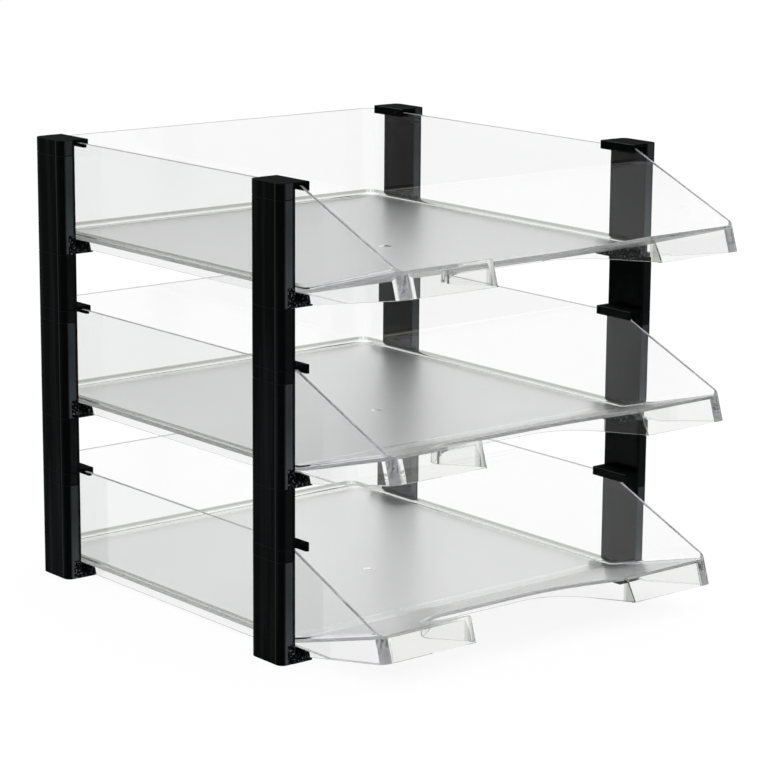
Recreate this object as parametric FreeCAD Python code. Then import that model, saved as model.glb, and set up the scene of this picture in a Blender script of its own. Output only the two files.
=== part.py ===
import FreeCAD, Part
import math
import os

# Three clear letter trays, one above the other, held between four black columns.
# Sizes are in millimetres. X runs to the right, Y to the back and Z up.
# The origin is on the desk, under the middle of a centred tray.

V = FreeCAD.Vector

# Tray
TRAY_WIDTH = 259.0
TRAY_LENGTH = 345.3
TRAY_HEIGHT = 64.9
TRAY_WALL = 2.0
FLOOR_THICKNESS = 2.0
FLOOR_LIFT = 4.4            # underside of the floor above the lowest edge of the walls
REAR_CORNER_RADIUS = 10.0
FRONT_CORNER_RADIUS = 6.5
RIM_RADIUS = 0.5
LIP_RADIUS = 1.0
NOTCH_EDGE_RADIUS = 0.7
FOOT_RADIUS = 2.4           # rounding where the walls meet the floor inside

# Front of the tray. Lengths are measured back from the foot of the front lip.
LIP_FOOT_HEIGHT = 13.8      # lowest edge of the front lip above the lowest edge of the walls
LIP_TOP_HEIGHT = 29.0
LIP_LEAN = 4.9              # the lip's top stands this far behind its foot
RAMP_LENGTH = 86.5          # from the lip's foot to the fold where the floor starts to rise
RAMP_FOLD_RADIUS = 30.0
SLOPE_START = 90.5          # full height of the side walls ends here
SLOPE_END = 12.6
SLOPE_END_HEIGHT = 31.8
SLOPE_START_RADIUS = 6.0
SLOPE_END_RADIUS = 14.0
UNDERCUT_LENGTH = 75.0      # the walls' lowest edge starts to rise here
SOLID_SIDE = 7.8            # width of the solid block under each side of the ramp, with its wall
HOLLOW_RADIUS = 2.5         # front corners of the hollow under the ramp

# Finger notch and label tab, as distances from the middle of the tray
TAB_END = 62.2
NOTCH_RIGHT_END = 64.0
NOTCH_DEPTH = 44.0          # from the lip's foot back to the notch's straight rear edge
NOTCH_RIGHT_CORNER = 36.4
NOTCH_RIGHT_RADIUS = 45.0
NOTCH_LEFT_CORNER = 56.0
NOTCH_LEFT_RADIUS = 22.0
NOTCH_POCKET = 80.0         # tip of the pocket behind the label tab
NOTCH_POCKET_DEPTH = 27.0
NOTCH_POCKET_RADIUS = 5.0
GATE_MARK_RADIUS = 2.4
GATE_MARK_HEIGHT = 0.4

# Column section
COLUMN_WIDTH = 10.2
COLUMN_DEPTH = 29.3
COLUMN_WALL = 1.6
COLUMN_RADIUS = 4.5         # the two outer corners of the section
LEAST_RADIUS = 0.2          # in the corners of bores and plugs
END_CHAMFER = 0.3           # around the ends of the column pieces
LEG_EDGE_RADIUS = 0.4       # along the edges of hooks and clips

# Column pieces
CLIP_PLATE = 2.8
CLIP_REACH = 12.5           # from the column's inner face to the edge of the clip's plate
CLIP_LEG_TOP = 3.3
HOOK_PLATE = 2.0
HOOK_LEG = 2.4
HOOK_DROP = 5.4
LEG_CORNER_RADIUS = 2.0
COLLAR_HEIGHT = 7.5
SPACER_HEIGHT = 35.0
PLUG_LENGTH = 8.0
PLUG_WALL = 1.3
PLUG_ROOT = 3.0             # how far a plug is rooted inside its own piece

# Clearances
PLUG_GAP = 0.15             # around each plug in its socket
LEG_GAP = 0.3               # from the legs of hooks and clips to the tray's wall
REST_GAP = 0.2              # under the tray's walls
HOOK_GAP = 0.5              # over the tray's walls
FLOOR_GAP = 0.4             # from the clips' legs to the underside of the floor
COLUMN_GAP = 5.3            # from the column to the tray's wall
STOP_ROOM = 13.3            # from the rear columns to the inside of the rear wall

# Places
COLUMN_PITCH = 220.2        # from the front columns to the rear columns
TRAY_SHIFT = 7.0            # the top tray stands this far forward, and the bottom tray this far back

# Worked out from the sizes above
SIDE_WALL_X = TRAY_WIDTH / 2
FRONT_Y = -TRAY_LENGTH / 2
REAR_Y = TRAY_LENGTH / 2
FLOOR_TOP = FLOOR_LIFT + FLOOR_THICKNESS
COLUMN_FACE_X = SIDE_WALL_X + COLUMN_GAP
COLUMN_OUTER_X = COLUMN_FACE_X + COLUMN_WIDTH
LEG_REACH = COLUMN_WIDTH + COLUMN_GAP + TRAY_WALL + LEG_GAP
CLIP_TOP = CLIP_PLATE + REST_GAP + FLOOR_LIFT - FLOOR_GAP
HOOK_TOP = COLLAR_HEIGHT + HOOK_PLATE
REAR_COLUMN_Y = REAR_Y - TRAY_WALL - STOP_ROOM - COLUMN_DEPTH
FRONT_COLUMN_Y = REAR_COLUMN_Y - COLUMN_PITCH
RISER_HEIGHT = CLIP_PLATE + REST_GAP + TRAY_HEIGHT + HOOK_GAP - COLLAR_HEIGHT
LEVEL_PITCH = RISER_HEIGHT + COLLAR_HEIGHT + SPACER_HEIGHT

LEVELS = ("bottom", "middle", "top")
SPACERS = ("lower", "upper")


def rounded_wire(corners):
    """Closed outline through (point, radius) corners, each rounded by its radius, 0 for a sharp one."""
    starts = []
    middles = []
    ends = []
    for i, (corner, radius) in enumerate(corners):
        back = corners[i - 1][0] - corner
        ahead = corners[(i + 1) % len(corners)][0] - corner
        back.normalize()
        ahead.normalize()
        half_angle = back.getAngle(ahead) / 2
        tangent = radius / math.tan(half_angle)
        bisector = back + ahead
        bisector.normalize()
        starts.append(corner + back * tangent)
        middles.append(corner + bisector * (radius / math.sin(half_angle) - radius))
        ends.append(corner + ahead * tangent)
    edges = []
    for i, (corner, radius) in enumerate(corners):
        if radius > 0:
            edges.append(Part.Arc(starts[i], middles[i], ends[i]).toShape())
        following = starts[(i + 1) % len(corners)]
        edges.append(Part.LineSegment(ends[i], following).toShape())
    return Part.Wire(edges)


def upright(wire, bottom, top):
    """Solid between two heights over an outline drawn at height 0."""
    solid = Part.Face(wire).extrude(V(0, 0, top - bottom))
    solid.translate(V(0, 0, bottom))
    return solid


def across(points, half_width):
    """Solid across the tray from a side view given as (y, z, corner radius)."""
    corners = [(V(-half_width, y, z), radius) for y, z, radius in points]
    return Part.Face(rounded_wire(corners)).extrude(V(2 * half_width, 0, 0))


def along(points, depth):
    """Solid along a column's depth from a front view given as (x, z, corner radius)."""
    corners = [(V(x, 0, z), radius) for x, z, radius in points]
    return Part.Face(rounded_wire(corners)).extrude(V(0, depth, 0))


def fillet_where(solid, radius, wanted):
    """Round the edges that the test picks."""
    edges = [edge for edge in solid.Edges if wanted(edge)]
    return solid.makeFillet(radius, edges)


def edge_middle(edge):
    return edge.valueAt((edge.FirstParameter + edge.LastParameter) / 2)


def lies_at_height(edge, height):
    return all(abs(vertex.Z - height) < 1e-4 for vertex in edge.Vertexes)


# Column pieces, drawn for the front left column: X from its outer face inwards, Y from its front face back.

def section(inset):
    """The column's outline, drawn in by a distance. The corners that face the trays are sharp."""
    outer = max(COLUMN_RADIUS - inset, LEAST_RADIUS)
    near_x = inset
    far_x = COLUMN_WIDTH - inset
    near_y = inset
    far_y = COLUMN_DEPTH - inset
    return rounded_wire([
        (V(near_x, near_y, 0), outer),
        (V(far_x, near_y, 0), 0),
        (V(far_x, far_y, 0), 0),
        (V(near_x, far_y, 0), outer),
    ])


BORE_INSET = COLUMN_WALL
PLUG_INSET = COLUMN_WALL + PLUG_GAP
PLUG_BORE_INSET = PLUG_INSET + PLUG_WALL


def is_end_edge(edge, height):
    """True for the edges around a piece's two end faces, apart from those that face the trays."""
    box = edge.BoundBox
    on_outside = box.XMin < 1e-4 or box.YMax < 1e-4 or box.YMin > COLUMN_DEPTH - 1e-4
    return on_outside and (lies_at_height(edge, 0) or lies_at_height(edge, height))


def body(height):
    """A stretch of column from height 0, solid, with chamfered ends."""
    solid = upright(section(0), 0, height)
    edges = [edge for edge in solid.Edges if is_end_edge(edge, height)]
    return solid.makeChamfer(END_CHAMFER, edges)


def relieve_leg(solid, leg_bottom, leg_top):
    """Round the leg's corners on the side of the tray's wall, above or below the plate."""
    radius = LEG_CORNER_RADIUS
    cuts = []
    for corner_y, side in ((0, 1), (COLUMN_DEPTH, -1)):
        square = Part.makeBox(radius, radius, leg_top - leg_bottom)
        low_y = min(corner_y, corner_y + side * radius)
        square.translate(V(LEG_REACH, low_y, leg_bottom))
        centre = V(LEG_REACH + radius, corner_y + side * radius, leg_bottom)
        round_part = Part.makeCylinder(radius, leg_top - leg_bottom, centre)
        cuts.append(square.cut(round_part))
    return solid.cut(Part.makeCompound(cuts))


def clip():
    """The trough at a riser's foot: a plate under the tray's wall and a leg inside it."""
    root_x = COLUMN_WIDTH - COLUMN_WALL
    trough = along([
        (root_x, 0, 0),
        (COLUMN_WIDTH + CLIP_REACH, 0, LEG_EDGE_RADIUS),
        (LEG_REACH + CLIP_LEG_TOP, CLIP_TOP, LEG_EDGE_RADIUS),
        (LEG_REACH, CLIP_TOP, LEG_EDGE_RADIUS),
        (LEG_REACH, CLIP_PLATE, 0),
        (root_x, CLIP_PLATE, 0),
    ], COLUMN_DEPTH)
    return relieve_leg(trough, CLIP_PLATE, CLIP_TOP)


def hook():
    """The hook over the tray's wall: a plate from the column inwards and a leg inside the wall."""
    root_x = COLUMN_WIDTH - COLUMN_WALL
    leg_x = LEG_REACH + HOOK_LEG
    leg_bottom = HOOK_TOP - HOOK_DROP
    arm = along([
        (root_x, HOOK_TOP, 0),
        (leg_x, HOOK_TOP, LEG_EDGE_RADIUS),
        (leg_x, leg_bottom, LEG_EDGE_RADIUS),
        (LEG_REACH, leg_bottom, LEG_EDGE_RADIUS),
        (LEG_REACH, COLLAR_HEIGHT, 0),
        (root_x, COLLAR_HEIGHT, 0),
    ], COLUMN_DEPTH)
    return relieve_leg(arm, leg_bottom, COLLAR_HEIGHT)


def plug_down(solid, height):
    """Add the hollow plug under a piece that stands at height 0, and hollow the piece up to a height."""
    plug = upright(section(PLUG_INSET), -PLUG_LENGTH, PLUG_ROOT)
    hollow = upright(section(PLUG_BORE_INSET), -PLUG_LENGTH, height)
    return solid.fuse(plug).cut(hollow)


def riser():
    bore = upright(section(BORE_INSET), 0, RISER_HEIGHT)
    return body(RISER_HEIGHT).fuse(clip()).cut(bore)


def cap():
    """The closed end of a column, with its hook and the plug for the riser below."""
    return plug_down(body(HOOK_TOP).fuse(hook()), COLLAR_HEIGHT)


def hook_collar():
    """A ring of column with a hook out of its inner side, and plugs for the riser and the spacer."""
    tongue_depth = COLUMN_DEPTH - 2 * PLUG_INSET
    tongue_start = COLUMN_WIDTH - PLUG_INSET - PLUG_WALL
    tongue = Part.makeBox(PLUG_WALL + 2 * PLUG_GAP, tongue_depth, HOOK_PLATE)
    tongue.translate(V(tongue_start, PLUG_INSET, COLLAR_HEIGHT))
    upper_plug = upright(section(PLUG_INSET), COLLAR_HEIGHT - PLUG_ROOT, HOOK_TOP + PLUG_LENGTH)
    upper_hollow = upright(section(PLUG_BORE_INSET), HOOK_TOP, HOOK_TOP + PLUG_LENGTH)
    solid = body(COLLAR_HEIGHT).fuse([hook(), tongue, upper_plug]).cut(upper_hollow)
    return plug_down(solid, COLLAR_HEIGHT)


def spacer():
    """A tube that stands on a collar, with room for the hook's plate and a plug for the next riser."""
    tube = body(SPACER_HEIGHT).cut(upright(section(BORE_INSET), 0, SPACER_HEIGHT))
    rebate = Part.makeBox(COLUMN_WALL + PLUG_GAP, COLUMN_DEPTH, HOOK_PLATE + PLUG_GAP)
    rebate.translate(V(COLUMN_WIDTH - COLUMN_WALL - PLUG_GAP, 0, 0))
    tube = tube.cut(rebate)
    root = upright(section(BORE_INSET), SPACER_HEIGHT - PLUG_ROOT, SPACER_HEIGHT)
    plug = upright(section(PLUG_INSET), SPACER_HEIGHT - PLUG_ROOT, SPACER_HEIGHT + PLUG_LENGTH)
    hollow = upright(section(PLUG_BORE_INSET), SPACER_HEIGHT - PLUG_ROOT, SPACER_HEIGHT + PLUG_LENGTH)
    return tube.fuse([root, plug]).cut(hollow)


def column_pieces():
    """Name, height of its foot and shape of each piece of the front left column, from the desk up."""
    one_riser = riser()
    one_collar = hook_collar()
    one_spacer = spacer()
    pieces = []
    for level, name in enumerate(LEVELS):
        foot = level * LEVEL_PITCH
        collar_foot = foot + RISER_HEIGHT
        pieces.append((name + "_riser", foot, one_riser))
        if name == LEVELS[-1]:
            pieces.append((name + "_cap", collar_foot, cap()))
        else:
            pieces.append((name + "_hook", collar_foot, one_collar))
            pieces.append((SPACERS[level] + "_spacer", collar_foot + COLLAR_HEIGHT, one_spacer))
    return pieces


# Tray, drawn with the lowest edge of its walls at height 0.

def lip_y(height):
    """Y of the front lip's outer face at a height."""
    rise = LIP_TOP_HEIGHT - LIP_FOOT_HEIGHT
    return FRONT_Y + LIP_LEAN * (height - LIP_FOOT_HEIGHT) / rise


RAMP_FOLD_Y = FRONT_Y + RAMP_LENGTH
RAMP_TOP_Y = lip_y(LIP_TOP_HEIGHT)
RAMP_SLOPE = (LIP_TOP_HEIGHT - FLOOR_TOP) / (RAMP_FOLD_Y - RAMP_TOP_Y)
RAMP_DROP = FLOOR_THICKNESS * math.sqrt(1 + RAMP_SLOPE ** 2)
SKY = 2 * TRAY_HEIGHT


def ramp_height(y, drop):
    """Height of the ramp's top at a Y, or of its underside with its upright thickness as the drop."""
    return FLOOR_TOP - drop + RAMP_SLOPE * (RAMP_FOLD_Y - y)


def outer_block():
    """The tray's outer form, filled."""
    block = across([
        (REAR_Y, 0, 0),
        (REAR_Y, TRAY_HEIGHT, 0),
        (FRONT_Y + SLOPE_START, TRAY_HEIGHT, SLOPE_START_RADIUS),
        (FRONT_Y + SLOPE_END, SLOPE_END_HEIGHT, SLOPE_END_RADIUS),
        (RAMP_TOP_Y, LIP_TOP_HEIGHT, 0),
        (FRONT_Y, LIP_FOOT_HEIGHT, 0),
        (FRONT_Y + UNDERCUT_LENGTH, 0, 0),
    ], SIDE_WALL_X)
    block = fillet_where(block, REAR_CORNER_RADIUS, lambda edge: is_corner(edge, REAR_Y, REAR_Y))
    return fillet_where(block, FRONT_CORNER_RADIUS, lambda edge: is_corner(edge, FRONT_Y, RAMP_TOP_Y))


def is_corner(edge, low_y, high_y):
    """True for an upright or leaning corner edge between two Y."""
    box = edge.BoundBox
    fits = abs(box.YMin - low_y) < 1e-4 and abs(box.YMax - high_y) < 1e-4
    return fits and box.XLength < 1e-4


def plan_block(half_width, rear_y, front_y, radius):
    """Upright block with two rounded rear corners, far taller than the tray."""
    outline = rounded_wire([
        (V(-half_width, front_y, 0), 0),
        (V(half_width, front_y, 0), 0),
        (V(half_width, rear_y, 0), radius),
        (V(-half_width, rear_y, 0), radius),
    ])
    return upright(outline, -SKY, SKY)


def is_foot_edge(edge):
    """True for the edges of the inner room where a side or rear wall meets the floor or the ramp."""
    middle = edge_middle(edge)
    on_floor = middle.z < ramp_height(min(middle.y, RAMP_FOLD_Y), 0) + FLOOR_THICKNESS
    on_side = edge.BoundBox.XLength < REAR_CORNER_RADIUS
    on_rear = middle.y > REAR_Y - TRAY_WALL - REAR_CORNER_RADIUS
    return on_floor and (on_side or on_rear)


def is_rim_edge(edge):
    """True for the level edges along the top of the side and rear walls."""
    return lies_at_height(edge, TRAY_HEIGHT) and edge.Length > TRAY_WALL + 1


def inner_room():
    """The room above the floor and the ramp, inside the walls."""
    beyond = FRONT_Y - RAMP_LENGTH
    side = across([
        (REAR_Y, FLOOR_TOP, 0),
        (REAR_Y, SKY, 0),
        (beyond, SKY, 0),
        (beyond, ramp_height(beyond, 0), 0),
        (RAMP_FOLD_Y, FLOOR_TOP, RAMP_FOLD_RADIUS),
    ], SIDE_WALL_X - TRAY_WALL)
    corner = REAR_CORNER_RADIUS - TRAY_WALL
    room = side.common(plan_block(SIDE_WALL_X - TRAY_WALL, REAR_Y - TRAY_WALL, beyond, corner))
    return fillet_where(room, FOOT_RADIUS, is_foot_edge)


def under_room():
    """The room under the floor, inside the walls."""
    corner = REAR_CORNER_RADIUS - TRAY_WALL
    plan = plan_block(SIDE_WALL_X - TRAY_WALL, REAR_Y - TRAY_WALL, FRONT_Y, corner)
    above = Part.makeBox(TRAY_WIDTH, TRAY_LENGTH, SKY)
    above.translate(V(-SIDE_WALL_X, FRONT_Y, FLOOR_LIFT))
    return plan.cut(above)


def lip_hollow():
    """The hollow behind the lip, under the ramp and between the solid blocks at its sides."""
    lean = LIP_LEAN / (LIP_TOP_HEIGHT - LIP_FOOT_HEIGHT)
    lip_wall = TRAY_WALL * math.sqrt(1 + lean ** 2)
    ramp_run = RAMP_LENGTH - lip_wall + lean * LIP_FOOT_HEIGHT
    corner_height = (FLOOR_TOP - RAMP_DROP + RAMP_SLOPE * ramp_run) / (1 + RAMP_SLOPE * lean)
    beneath = -LIP_FOOT_HEIGHT
    behind = RAMP_FOLD_Y + RAMP_FOLD_RADIUS
    front_bottom = lip_y(beneath) + lip_wall
    front_top = lip_y(corner_height) + lip_wall
    hollow = across([
        (behind, FLOOR_LIFT, 0),
        (behind, beneath, 0),
        (front_bottom, beneath, 0),
        (front_top, corner_height, 0),
        (RAMP_FOLD_Y, FLOOR_LIFT, RAMP_FOLD_RADIUS + FLOOR_THICKNESS),
    ], SIDE_WALL_X - SOLID_SIDE)
    return fillet_where(hollow, HOLLOW_RADIUS, lambda edge: is_corner(edge, front_bottom, front_top))


def notch_wire(grow):
    """Outline of the finger notch with the pocket behind the label tab, grown outwards by a distance."""
    front = FRONT_Y - NOTCH_DEPTH
    rear = FRONT_Y + NOTCH_DEPTH
    pocket_y = FRONT_Y + NOTCH_POCKET_DEPTH
    corners = [
        (V(-TAB_END, front, 0), 0),
        (V(NOTCH_RIGHT_END, front, 0), 0),
        (V(NOTCH_RIGHT_END, FRONT_Y, 0), 0),
        (V(NOTCH_RIGHT_CORNER, rear, 0), NOTCH_RIGHT_RADIUS),
        (V(-NOTCH_LEFT_CORNER, rear, 0), NOTCH_LEFT_RADIUS),
        (V(-NOTCH_POCKET, pocket_y, 0), NOTCH_POCKET_RADIUS),
        (V(-TAB_END, RAMP_TOP_Y, 0), 0),
    ]
    wire = rounded_wire(corners)
    if grow > 0:
        wire = wire.makeOffset2D(grow, 0)
    return wire


def is_notch_edge(edge):
    """True for the edges of the notch on top of the ramp."""
    middle = edge_middle(edge)
    below = Part.Vertex(V(middle.x, middle.y, 0))
    on_notch = notch_wire(0).distToShape(below)[0] < 1e-3
    return on_notch and abs(middle.z - ramp_height(middle.y, 0)) < 0.05


def lip_rounding():
    """What the rounded top edge of the front lip leaves out of a sharp one."""
    reach = 3 * LIP_RADIUS
    back = (RAMP_TOP_Y + reach, ramp_height(RAMP_TOP_Y + reach, 0), 0)
    down = (lip_y(LIP_TOP_HEIGHT - reach), LIP_TOP_HEIGHT - reach, 0)
    sharp = across([back, (RAMP_TOP_Y, LIP_TOP_HEIGHT, 0), down], SIDE_WALL_X)
    rounded = across([back, (RAMP_TOP_Y, LIP_TOP_HEIGHT, LIP_RADIUS), down], SIDE_WALL_X)
    return sharp.cut(rounded)


def gate_mark():
    """The small round mark in the middle of the floor."""
    sunk = FLOOR_THICKNESS / 2
    return Part.makeCylinder(GATE_MARK_RADIUS, sunk + GATE_MARK_HEIGHT, V(0, 0, FLOOR_TOP - sunk))


def tray():
    block = outer_block()
    room = inner_room()
    notch = upright(notch_wire(0), -SKY, SKY)
    around_notch = upright(notch_wire(TRAY_WALL), LIP_FOOT_HEIGHT, SKY)
    skirt = around_notch.cut(notch).common(block).cut(room)
    shell = fillet_where(block.cut(room), RIM_RADIUS, is_rim_edge)
    shell = shell.cut([under_room(), lip_hollow(), notch])
    whole = shell.fuse(skirt).removeSplitter()
    whole = fillet_where(whole, NOTCH_EDGE_RADIUS, is_notch_edge)
    return whole.cut(lip_rounding()).fuse(gate_mark())


def build():
    nodes = {}
    pieces = column_pieces()
    for side, mirrored in (("left", False), ("right", True)):
        for place, column_y in (("front", FRONT_COLUMN_Y), ("rear", REAR_COLUMN_Y)):
            for name, foot, shape in pieces:
                piece = shape.copy()
                piece.translate(V(-COLUMN_OUTER_X, column_y, foot))
                if mirrored:
                    piece = piece.mirror(V(0, 0, 0), V(1, 0, 0))
                nodes[place + "_" + side + "_" + name] = piece
    one_tray = tray()
    for level, name in enumerate(LEVELS):
        shape = one_tray.copy()
        foot = level * LEVEL_PITCH + CLIP_PLATE + REST_GAP
        shape.translate(V(0, TRAY_SHIFT * (1 - level), foot))
        nodes[name + "_tray"] = shape
    return nodes


os.makedirs("parts", exist_ok=True)
for node, solid in build().items():
    solid.exportStep(os.path.join("parts", node + ".step"))
    print(node, len(solid.Solids), solid.isValid(), round(solid.Volume / 1000, 2))
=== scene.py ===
import bpy
import math
from mathutils import Matrix, Vector

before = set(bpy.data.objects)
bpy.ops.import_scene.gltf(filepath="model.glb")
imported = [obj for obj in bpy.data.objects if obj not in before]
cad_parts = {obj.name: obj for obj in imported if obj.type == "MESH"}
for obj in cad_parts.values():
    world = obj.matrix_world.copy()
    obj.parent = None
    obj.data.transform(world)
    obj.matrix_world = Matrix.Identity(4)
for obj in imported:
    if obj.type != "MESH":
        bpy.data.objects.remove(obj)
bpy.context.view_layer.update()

# Risers
# Each riser is a hollow tube of black plastic, moulded in one with the clip that a tray's wall stands in.
# The plug of the spacer below goes up into it, and the plug of the hook or cap above goes down into it.
# The sides are polished. The lowest part, around the clip, has the fine grain of the mould.

PLACES = ("front_left", "front_right", "rear_left", "rear_right")
LEVELS = ("bottom", "middle", "top")

# The columns, in metres. X and Y are from the middle of the stack.
LEVEL_PITCH = 0.1034
COLUMN_PITCH = 0.2202
FRONT_COLUMN_Y = -0.09215
COLUMN_OUTER_X = 0.145
COLUMN_INNER_X = 0.1348
CORNER_RADIUS = 0.0045

# Where the grain and the painted highlights and reflections are, and how wide and soft. The grain's height is
# above a level's seam, and the heights of the painted flare are above the grain.
RISER_FOOT_GRAIN = 0.0117
GRAIN_SIDE_X = 0.1398
GRAIN_BLUR = 0.0005
BAND_INNER_X = 0.1358
BAND_OUTER_X = 0.1422
BAND_BLUR = 0.0013
FLARE_LOW = 0.002
FLARE_HIGH = 0.03
STRIP_WIDTH = 0.0014
SIDE_MARGIN = 0.0001
SOFT_EDGE = 0.0003

# How far a normal has turned when a face counts as forward, level or sloped.
FORWARD_FACE = (-0.75, -0.95)
LEVEL_FACE = (0.5, 0.8)
SLOPED_FACE = (0.4, 0.95)
SLOPED_BLUR = 0.15

# How much of the grey each painted highlight or reflection mixes into the black. The gain brightens the
# painted band in the painted flare.
BLACK = (0.0016, 0.0021, 0.0021, 1)
PAINTED_SHEEN_GREY = (0.3, 0.34, 0.36, 1)
BAND_LIGHT = 0.15
FLARE_GAIN = 0.6
STRIP_LIGHT = 0.08
STREAK_LIGHT = 0.03
DOT_LIGHT = 0.6
SLOPED_LIGHT = 0.03
CLIP_END_LIGHT = 0.3

SPECKLE_SCALE = 900
DOT_LIMITS = (0.56, 0.66)
STREAK_SCALE = 160
STREAK_STRETCH = (1, 1, 0.04)
STREAK_LIMITS = (0.45, 0.75)
POLISHED = 0.14
MATT = 0.95


def add_node(tree, kind, **settings):
    """Add a shader node, with its attributes and its sockets' values set by name."""
    made = tree.nodes.new(kind)
    for name, value in settings.items():
        if hasattr(made, name):
            setattr(made, name, value)
        else:
            made.inputs[name.replace("_", " ")].default_value = value
    return made


def feed(value, socket):
    """Give a node's input a fixed value or the output of another node."""
    if isinstance(value, bpy.types.NodeSocket):
        socket.id_data.links.new(value, socket)
    else:
        socket.default_value = value


def new_finish(name, **settings):
    """A material with one Principled shader. Returns the material, its tree and the shader."""
    finish = bpy.data.materials.new(name)
    finish.use_nodes = True
    shader = finish.node_tree.nodes["Principled BSDF"]
    for socket, value in settings.items():
        shader.inputs[socket.replace("_", " ")].default_value = value
    return finish, finish.node_tree, shader


def work_out(operation, value, other=0.0, **settings):
    """One sum on a node's output. The other side is a number or an output."""
    made = add_node(value.id_data, "ShaderNodeMath", operation=operation, **settings)
    feed(value, made.inputs[0])
    feed(other, made.inputs[1])
    return made.outputs[0]


def times(value, *others):
    for other in others:
        value = work_out("MULTIPLY", value, other)
    return value


def plus(value, *others):
    for other in others:
        value = work_out("ADD", value, other)
    return value


def largest(value, *others):
    for other in others:
        value = work_out("MAXIMUM", value, other)
    return value


def ramp(value, start, end, last=1.0, first=0.0):
    """A value that goes from first to last while another goes from start to end."""
    made = add_node(
        value.id_data,
        "ShaderNodeMapRange",
        From_Min=start,
        From_Max=end,
        To_Min=first,
        To_Max=last,
    )
    feed(value, made.inputs["Value"])
    return made.outputs["Result"]


def share_inside(value, low, high, blur):
    """A value that is 1 between two limits and 0 outside, with soft ends."""
    half = (high - low) / 2
    offset = work_out("SUBTRACT", value, (low + high) / 2)
    return ramp(work_out("ABSOLUTE", offset), half, half - blur)


def split(vector):
    """The X, Y and Z outputs of a vector."""
    made = add_node(vector.id_data, "ShaderNodeSeparateXYZ")
    feed(vector, made.inputs["Vector"])
    return made.outputs


def length_of(vector):
    made = add_node(vector.id_data, "ShaderNodeVectorMath", operation="LENGTH")
    feed(vector, made.inputs[0])
    return made.outputs["Value"]


def moved(vector, **settings):
    """A vector after a shift or a stretch."""
    made = add_node(vector.id_data, "ShaderNodeMapping", **settings)
    feed(vector, made.inputs["Vector"])
    return made.outputs["Vector"]


def noise(vector, scale, detail):
    made = add_node(vector.id_data, "ShaderNodeTexNoise", Scale=scale, Detail=detail)
    feed(vector, made.inputs["Vector"])
    return made.outputs["Fac"]


def mix_colours(share, base, other):
    """A colour between two, each of them fixed or an output."""
    made = add_node(share.id_data, "ShaderNodeMix", data_type="RGBA")
    feed(share, made.inputs[0])
    feed(base, made.inputs[6])
    feed(other, made.inputs[7])
    return made.outputs[2]


def painted_band_reflection(facing, out_from_middle, height, grain, painted_sheen, grain_top):
    """A painted reflection: a soft light band down the narrow faces, with a painted highlight just above a
    riser's foot, and none on the grain.
    """
    band = share_inside(out_from_middle, BAND_INNER_X, BAND_OUTER_X, BAND_BLUR)
    narrow = ramp(facing["Y"], *FORWARD_FACE)
    off_grain = ramp(grain, 1.0, 0.0, BAND_LIGHT * painted_sheen)
    flare = ramp(height, grain_top + FLARE_HIGH, grain_top + FLARE_LOW, FLARE_GAIN * painted_sheen)
    return times(band, narrow, off_grain, plus(flare, 1.0))


def painted_side_reflections(place, spot, out_from_middle):
    """A painted reflection: a thin light line beside the rounding of the broad outer side, and faint upright
    painted reflection streaks on it.
    """
    depth = work_out("MODULO", work_out("SUBTRACT", spot["Y"], FRONT_COLUMN_Y), COLUMN_PITCH)
    strip = share_inside(depth, CORNER_RADIUS, CORNER_RADIUS + STRIP_WIDTH, STRIP_WIDTH / 2)
    streak_noise = noise(moved(place, Scale=STREAK_STRETCH), STREAK_SCALE, detail=2)
    painted_streaks = ramp(streak_noise, *STREAK_LIMITS, STREAK_LIGHT)
    side_start = COLUMN_OUTER_X - SIDE_MARGIN - SOFT_EDGE
    on_side = ramp(out_from_middle, side_start, COLUMN_OUTER_X - SIDE_MARGIN)
    return times(plus(times(strip, STRIP_LIGHT), painted_streaks), on_side)


def painted_slope_highlights(facing, out_from_middle):
    """Painted highlights on the sloped and rounded ends of the clips and hooks, and faint ones on the
    columns' rounded top edges.
    """
    sloped = share_inside(facing["Z"], *SLOPED_FACE, SLOPED_BLUR)
    off_column = ramp(out_from_middle, COLUMN_INNER_X, COLUMN_INNER_X - SOFT_EDGE, CLIP_END_LIGHT)
    return times(sloped, plus(off_column, SLOPED_LIGHT))


def black_plastic(name, painted_sheen, grain_top):
    """Polished black plastic. The soft reflections and highlights that its faces would mirror are painted
    into its colour.

    Up to grain_top above each level's seam, the clip and the narrow faces have a speckled grain instead.
    """
    finish, tree, shader = new_finish(name, Specular_IOR_Level=0.05)
    place = add_node(tree, "ShaderNodeTexCoord").outputs["Object"]
    spot = split(place)
    facing = split(add_node(tree, "ShaderNodeNewGeometry").outputs["Normal"])
    out_from_middle = work_out("ABSOLUTE", spot["X"])
    height = work_out("MODULO", spot["Z"], LEVEL_PITCH)

    low = ramp(height, grain_top + GRAIN_BLUR, grain_top - GRAIN_BLUR)
    beside_round = ramp(out_from_middle, COLUMN_OUTER_X - CORNER_RADIUS, GRAIN_SIDE_X)
    grain = times(low, beside_round)
    speckle = noise(place, SPECKLE_SCALE, detail=3)
    # The painted reflections and highlights, and the light specks of the grain, lighten the black here.
    light = plus(
        painted_band_reflection(facing, out_from_middle, height, grain, painted_sheen, grain_top),
        painted_side_reflections(place, spot, out_from_middle),
        painted_slope_highlights(facing, out_from_middle),
        # Light specks on the grain: its own specks, brightened as painted glints of its facets.
        times(ramp(speckle, *DOT_LIMITS, DOT_LIGHT), grain),
    )
    feed(mix_colours(light, BLACK, PAINTED_SHEEN_GREY), shader.inputs["Base Color"])

    dull = largest(ramp(facing["Z"], *LEVEL_FACE), grain)
    feed(ramp(dull, 0.0, 1.0, MATT, POLISHED), shader.inputs["Roughness"])
    relief = add_node(tree, "ShaderNodeBump", Strength=0.5, Distance=0.0002)
    feed(times(speckle, grain), relief.inputs["Height"])
    feed(relief.outputs["Normal"], shader.inputs["Normal"])
    return finish


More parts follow.
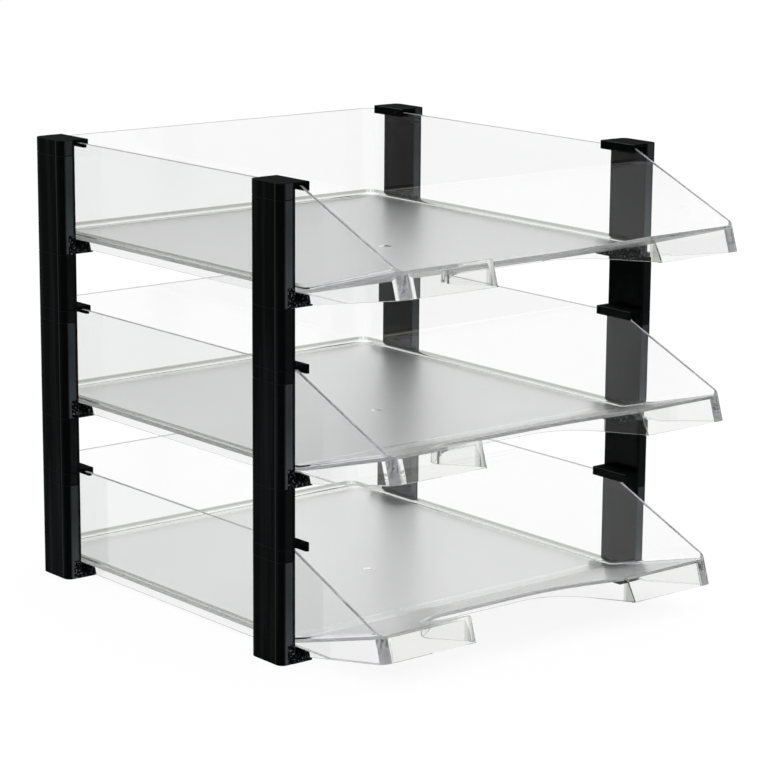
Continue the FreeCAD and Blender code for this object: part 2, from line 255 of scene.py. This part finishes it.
def give_finish(node_name, finish):
    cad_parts[node_name].data.materials.clear()
    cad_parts[node_name].data.materials.append(finish)


riser_plastic = black_plastic("riser_plastic", painted_sheen=1.0, grain_top=RISER_FOOT_GRAIN)
for place in PLACES:
    for level in LEVELS:
        give_finish(place + "_" + level + "_riser", riser_plastic)

# Hooks
# A hook is a short black collar between a riser and a spacer, with a plug for each of them.
# Its plate comes out of the inner side and turns down behind the tray's wall.

hook_plastic = black_plastic("hook_plastic", painted_sheen=0.15, grain_top=0)
for place in PLACES:
    for level in ("bottom", "middle"):
        give_finish(place + "_" + level + "_hook", hook_plastic)

# Spacers
# A spacer is a plain black tube that fills the column between a hook and the next riser.
# It sits on the hook's plug and has a plug for the riser.

spacer_plastic = black_plastic("spacer_plastic", painted_sheen=0.12, grain_top=0)
for place in PLACES:
    for level in ("lower", "upper"):
        give_finish(place + "_" + level + "_spacer", spacer_plastic)

# Caps
# The cap closes a column at the top and hooks over the top tray's wall.
# It is made of the same black plastic and plugs into the top riser.

cap_plastic = black_plastic("cap_plastic", painted_sheen=0.7, grain_top=0)
for place in PLACES:
    give_finish(place + "_top_cap", cap_plastic)

# Trays
# Each tray is one clear moulding that stands loose in the clips, under the hooks.
# The floor and the ramp are frosted on top, up to a narrow polished border, with two polished lines across
# the fold and a polished gate mark. The cut-off edges look darker than the walls, and a painted shade darkens
# the rounding along the floor, the lip between the blocks and the level part of the rims.

# The bottom tray's foot is at this height, and each tray stands this far in front of the one below.
TRAY_FOOT = 0.003
TRAY_SHIFT = 0.007

# Places on a tray, in metres from the middle of its foot.
TRAY_FLOOR = 0.0064
WALL_INSIDE = 0.1275
REAR_INSIDE = 0.17065
BLOCK_INSIDE = 0.1217
LOWEST_RIM = 0.0305
LEVEL_RIM = 0.0643
RAMP_TOP = 0.0285
LIP_FOOT = 0.0138
UNDERCUT_Y = -0.0977
FROST_HALF_WIDTH = 0.1245
FROST_REAR = 0.162
FROST_FRONT = -0.166
FOLD_LINES = (-0.0782, -0.0868)
GATE_REACH = 0.0072

# The rounding along the floor, from the walls' insides and from the floor.
ROUNDING_START = 0.0009
ROUNDING_FULL = 0.0005
ROUNDING_LOW = 0.0008
ROUNDING_HIGH = 0.0034

# How wide the lines are, and how softly the fields of the material end.
FOLD_LINE_HALF = 0.0005
UNDERCUT_RUN = 0.004
RAMP_RUN = 0.003
FROST_BLUR = 0.0006
FROST_TOP_BLUR = 0.0001
THIN_BLUR = 0.0002
RIM_BLUR = 0.0005
LIP_BLUR = 0.0004

# How far a normal has turned when a face counts as frosted, lying or turned aside from the front.
FROSTED_FACE = (0.85, 0.9)
LYING_FACE = (0.3, 0.6)
ASIDE_FACE = (0.8, 0.6)

CLEAR = (0.995, 0.997, 0.996, 1)
FROST_TINT = (0.965, 0.975, 0.965, 1)
EDGE_TINT = (0.9, 0.89, 0.99, 1)
# The next, darker tint paints shade on the rounding along the floor, the lip and the level rims.
PAINTED_SHADE_TINT = (0.5, 0.52, 0.48, 1)
UNDER_WALL_SHARE = 0.3
LIP_FACE_SHARE = 0.2
HAZE_LOW = 0.28
HAZE_HIGH = 0.38
RAMP_SMOOTHER = -0.25
DEPTH_COLOUR = (0.22, 0.21, 0.36, 1)
DEPTH_DENSITY = 1.2


def frosted_field(in_tray, spot, facing):
    """The frosted top of the floor and the ramp, without the fold lines and the gate mark."""
    frost = times(
        share_inside(spot["X"], -FROST_HALF_WIDTH, FROST_HALF_WIDTH, FROST_BLUR),
        share_inside(spot["Y"], FROST_FRONT, FROST_REAR, FROST_BLUR),
        share_inside(spot["Z"], TRAY_FLOOR - SOFT_EDGE, RAMP_TOP, FROST_TOP_BLUR),
        ramp(work_out("ABSOLUTE", facing["Z"]), *FROSTED_FACE),
        ramp(length_of(in_tray), GATE_REACH, GATE_REACH + THIN_BLUR),
    )
    for line_y in FOLD_LINES:
        line = share_inside(spot["Y"], line_y - FOLD_LINE_HALF, line_y + FOLD_LINE_HALF, SOFT_EDGE)
        frost = times(frost, ramp(line, 1.0, 0.0))
    return frost


def cut_edges(spot, lying, out_from_middle):
    """The walls' rims, and the undersides of the walls and of the solid blocks at the front."""
    rim = ramp(spot["Z"], LOWEST_RIM, LOWEST_RIM + RIM_BLUR)
    low = ramp(spot["Z"], LIP_FOOT + RIM_BLUR, LIP_FOOT)
    under_wall = ramp(out_from_middle, WALL_INSIDE, WALL_INSIDE + THIN_BLUR, UNDER_WALL_SHARE)
    under_block = times(
        ramp(out_from_middle, BLOCK_INSIDE, BLOCK_INSIDE + THIN_BLUR),
        ramp(spot["Y"], UNDERCUT_Y, UNDERCUT_Y - UNDERCUT_RUN),
    )
    return times(lying, plus(rim, times(low, largest(under_wall, under_block))))


def painted_shade_places(spot, facing, lying, out_from_middle):
    """Where a painted shade darkens the clear plastic: the rounding along the floor, the lip between the
    blocks, and the level part of the rims.
    """
    beside_wall = largest(
        ramp(out_from_middle, WALL_INSIDE - ROUNDING_START, WALL_INSIDE - ROUNDING_FULL),
        ramp(spot["Y"], REAR_INSIDE - ROUNDING_START, REAR_INSIDE - ROUNDING_FULL),
    )
    rounding = times(
        beside_wall,
        share_inside(spot["Z"], TRAY_FLOOR + ROUNDING_LOW, TRAY_FLOOR + ROUNDING_HIGH, SOFT_EDGE),
        ramp(spot["Y"], FOLD_LINES[1], FOLD_LINES[0]),
    )
    aside = ramp(work_out("ABSOLUTE", facing["Y"]), *ASIDE_FACE)
    lip = times(
        largest(aside, LIP_FACE_SHARE),
        ramp(spot["Y"], FROST_FRONT, FROST_FRONT - LIP_BLUR),
        ramp(out_from_middle, BLOCK_INSIDE, BLOCK_INSIDE - RIM_BLUR),
    )
    level_rim = times(ramp(spot["Z"], LEVEL_RIM - SOFT_EDGE, LEVEL_RIM), lying)
    return largest(rounding, lip, level_rim)


def clear_plastic(name, foot, shift):
    """Clear plastic for one tray, from the height of its foot and how far back it stands."""
    finish, tree, shader = new_finish(name, IOR=1.5, Transmission_Weight=1.0)
    place = add_node(tree, "ShaderNodeTexCoord").outputs["Object"]
    in_tray = moved(place, Location=(0, -shift, -foot))
    spot = split(in_tray)
    facing = split(add_node(tree, "ShaderNodeNewGeometry").outputs["Normal"])
    out_from_middle = work_out("ABSOLUTE", spot["X"])
    lying = ramp(work_out("ABSOLUTE", facing["Z"]), *LYING_FACE)

    frost = frosted_field(in_tray, spot, facing)
    edges = cut_edges(spot, lying, out_from_middle)
    painted_shade_share = painted_shade_places(spot, facing, lying, out_from_middle)
    colour = mix_colours(frost, CLEAR, FROST_TINT)
    colour = mix_colours(edges, colour, EDGE_TINT)
    # Painted shade on the rounding along the floor, the lip between the blocks and the level part of the
    # rims.
    colour = mix_colours(painted_shade_share, colour, PAINTED_SHADE_TINT)
    feed(colour, shader.inputs["Base Color"])

    speckle = noise(place, SPECKLE_SCALE, detail=2)
    haze = ramp(speckle, 0.0, 1.0, HAZE_HIGH, HAZE_LOW)
    on_ramp = ramp(spot["Y"], FOLD_LINES[1], FOLD_LINES[1] - RAMP_RUN, RAMP_SMOOTHER)
    feed(times(haze, largest(frost, edges), plus(on_ramp, 1.0)), shader.inputs["Roughness"])

    depth = add_node(tree, "ShaderNodeVolumeAbsorption", Color=DEPTH_COLOUR, Density=DEPTH_DENSITY)
    feed(depth.outputs["Volume"], tree.nodes["Material Output"].inputs["Volume"])
    return finish


for level, name in enumerate(LEVELS):
    plastic = clear_plastic(
        name + "_tray_plastic",
        foot=level * LEVEL_PITCH + TRAY_FOOT,
        shift=TRAY_SHIFT * (1 - level),
    )
    give_finish(name + "_tray", plastic)

# Table and studio
# A plain white table, far wider than the view, under a white tent that is darker on the side from which the
# photograph was taken. The table gives off light of its own. It is darker to rays that a smooth face
# mirrored, because the plastic in the photograph mirrors a dark room, and slightly darker under the stack.

TABLE_RADIUS = 25.0
TABLE_GREY = (0.08, 0.08, 0.08, 1)
TABLE_LIGHT = 0.95
MIRRORED_LIGHT = 0.1
MIRRORED_ONCE = (0.5, 1.5)
MIRRORED_BLUR = 0.1
FAR_START = 0.35
FAR_FULL = 0.7
SHADE_SIDE = 0.13
SHADE_FRONT = -0.165
SHADE_REAR = 0.17
SHADE_BLUR = 0.03
SHADE_DEPTH = -0.06
DARK_SIDE = (-0.62, -0.75, 0.22)
DARK_SIDE_START = 0.35
DARK_SIDE_FULL = 0.8
DARK_SIDE_LIGHT = 0.2

bpy.ops.mesh.primitive_circle_add(vertices=128, radius=TABLE_RADIUS, fill_type="NGON")
table = bpy.context.object
table.name = "table"
table_white, table_tree, table_shader = new_finish(
    "table_white",
    Base_Color=TABLE_GREY,
    Roughness=0.9,
    Specular_IOR_Level=0,
    Emission_Color=(1, 1, 1, 1),
)
table_place = add_node(table_tree, "ShaderNodeTexCoord").outputs["Object"]
table_spot = split(table_place)
ray = add_node(table_tree, "ShaderNodeLightPath").outputs
# A painted reflection: rays that a smooth face mirrored once see the far table dim, as if it mirrored a dark
# room.
mirrored_once = share_inside(ray["Glossy Depth"], *MIRRORED_ONCE, MIRRORED_BLUR)
far_off = ramp(length_of(table_place), FAR_START, FAR_FULL)
straight = work_out("SUBTRACT", ray["Is Glossy Ray"], ray["Is Transmission Ray"], use_clamp=True)
mirrored = largest(times(mirrored_once, far_off), straight)
brightness = ramp(mirrored, 0.0, 1.0, MIRRORED_LIGHT, TABLE_LIGHT)
# A painted shadow: the table gives off a little less light under the stack.
shade = times(
    share_inside(table_spot["X"], -SHADE_SIDE, SHADE_SIDE, SHADE_BLUR),
    share_inside(table_spot["Y"], SHADE_FRONT, SHADE_REAR, SHADE_BLUR),
    SHADE_DEPTH,
)
feed(times(brightness, plus(shade, 1.0)), table_shader.inputs["Emission Strength"])
table.data.materials.append(table_white)

world = bpy.data.worlds.new("studio")
bpy.context.scene.world = world
world.use_nodes = True
tent = world.node_tree.nodes["Background"]
way = add_node(world.node_tree, "ShaderNodeTexCoord").outputs["Generated"]
toward_dark = add_node(world.node_tree, "ShaderNodeVectorMath", operation="DOT_PRODUCT")
feed(way, toward_dark.inputs[0])
feed(DARK_SIDE, toward_dark.inputs[1])
tent_light = ramp(toward_dark.outputs["Value"], DARK_SIDE_START, DARK_SIDE_FULL, DARK_SIDE_LIGHT, 1.0)
feed(tent_light, tent.inputs["Color"])
feed(1.0, tent.inputs["Strength"])

# Camera
# It stands in front of the left side and looks down on the stack, as in the photograph.
# The bounces let a ray pass all the clear walls and floors that lie behind each other.

AZIMUTH = math.radians(-39.486)
ELEVATION = math.radians(12.498)
ROLL = math.radians(0.413)
CAMERA_PLACE = Vector((-1.0728, -1.3086, 0.5044))
LENS = 131.99
BOUNCES = 40

back_way = Vector((
    math.sin(AZIMUTH) * math.cos(ELEVATION),
    -math.cos(AZIMUTH) * math.cos(ELEVATION),
    math.sin(ELEVATION),
))
right_way = Vector((math.cos(AZIMUTH), math.sin(AZIMUTH), 0))
up_way = back_way.cross(right_way)
turned_right = right_way * math.cos(ROLL) + up_way * math.sin(ROLL)
turned_up = up_way * math.cos(ROLL) - right_way * math.sin(ROLL)
bpy.ops.object.camera_add()
camera = bpy.context.object
turn = Matrix((turned_right, turned_up, back_way)).transposed()
camera.matrix_world = Matrix.Translation(CAMERA_PLACE) @ turn.to_4x4()
camera.data.lens = LENS
bpy.context.scene.camera = camera
bpy.context.scene.view_settings.view_transform = "Standard"
bpy.context.scene.cycles.max_bounces = BOUNCES
bpy.context.scene.cycles.transmission_bounces = BOUNCES
bpy.context.scene.cycles.glossy_bounces = BOUNCES
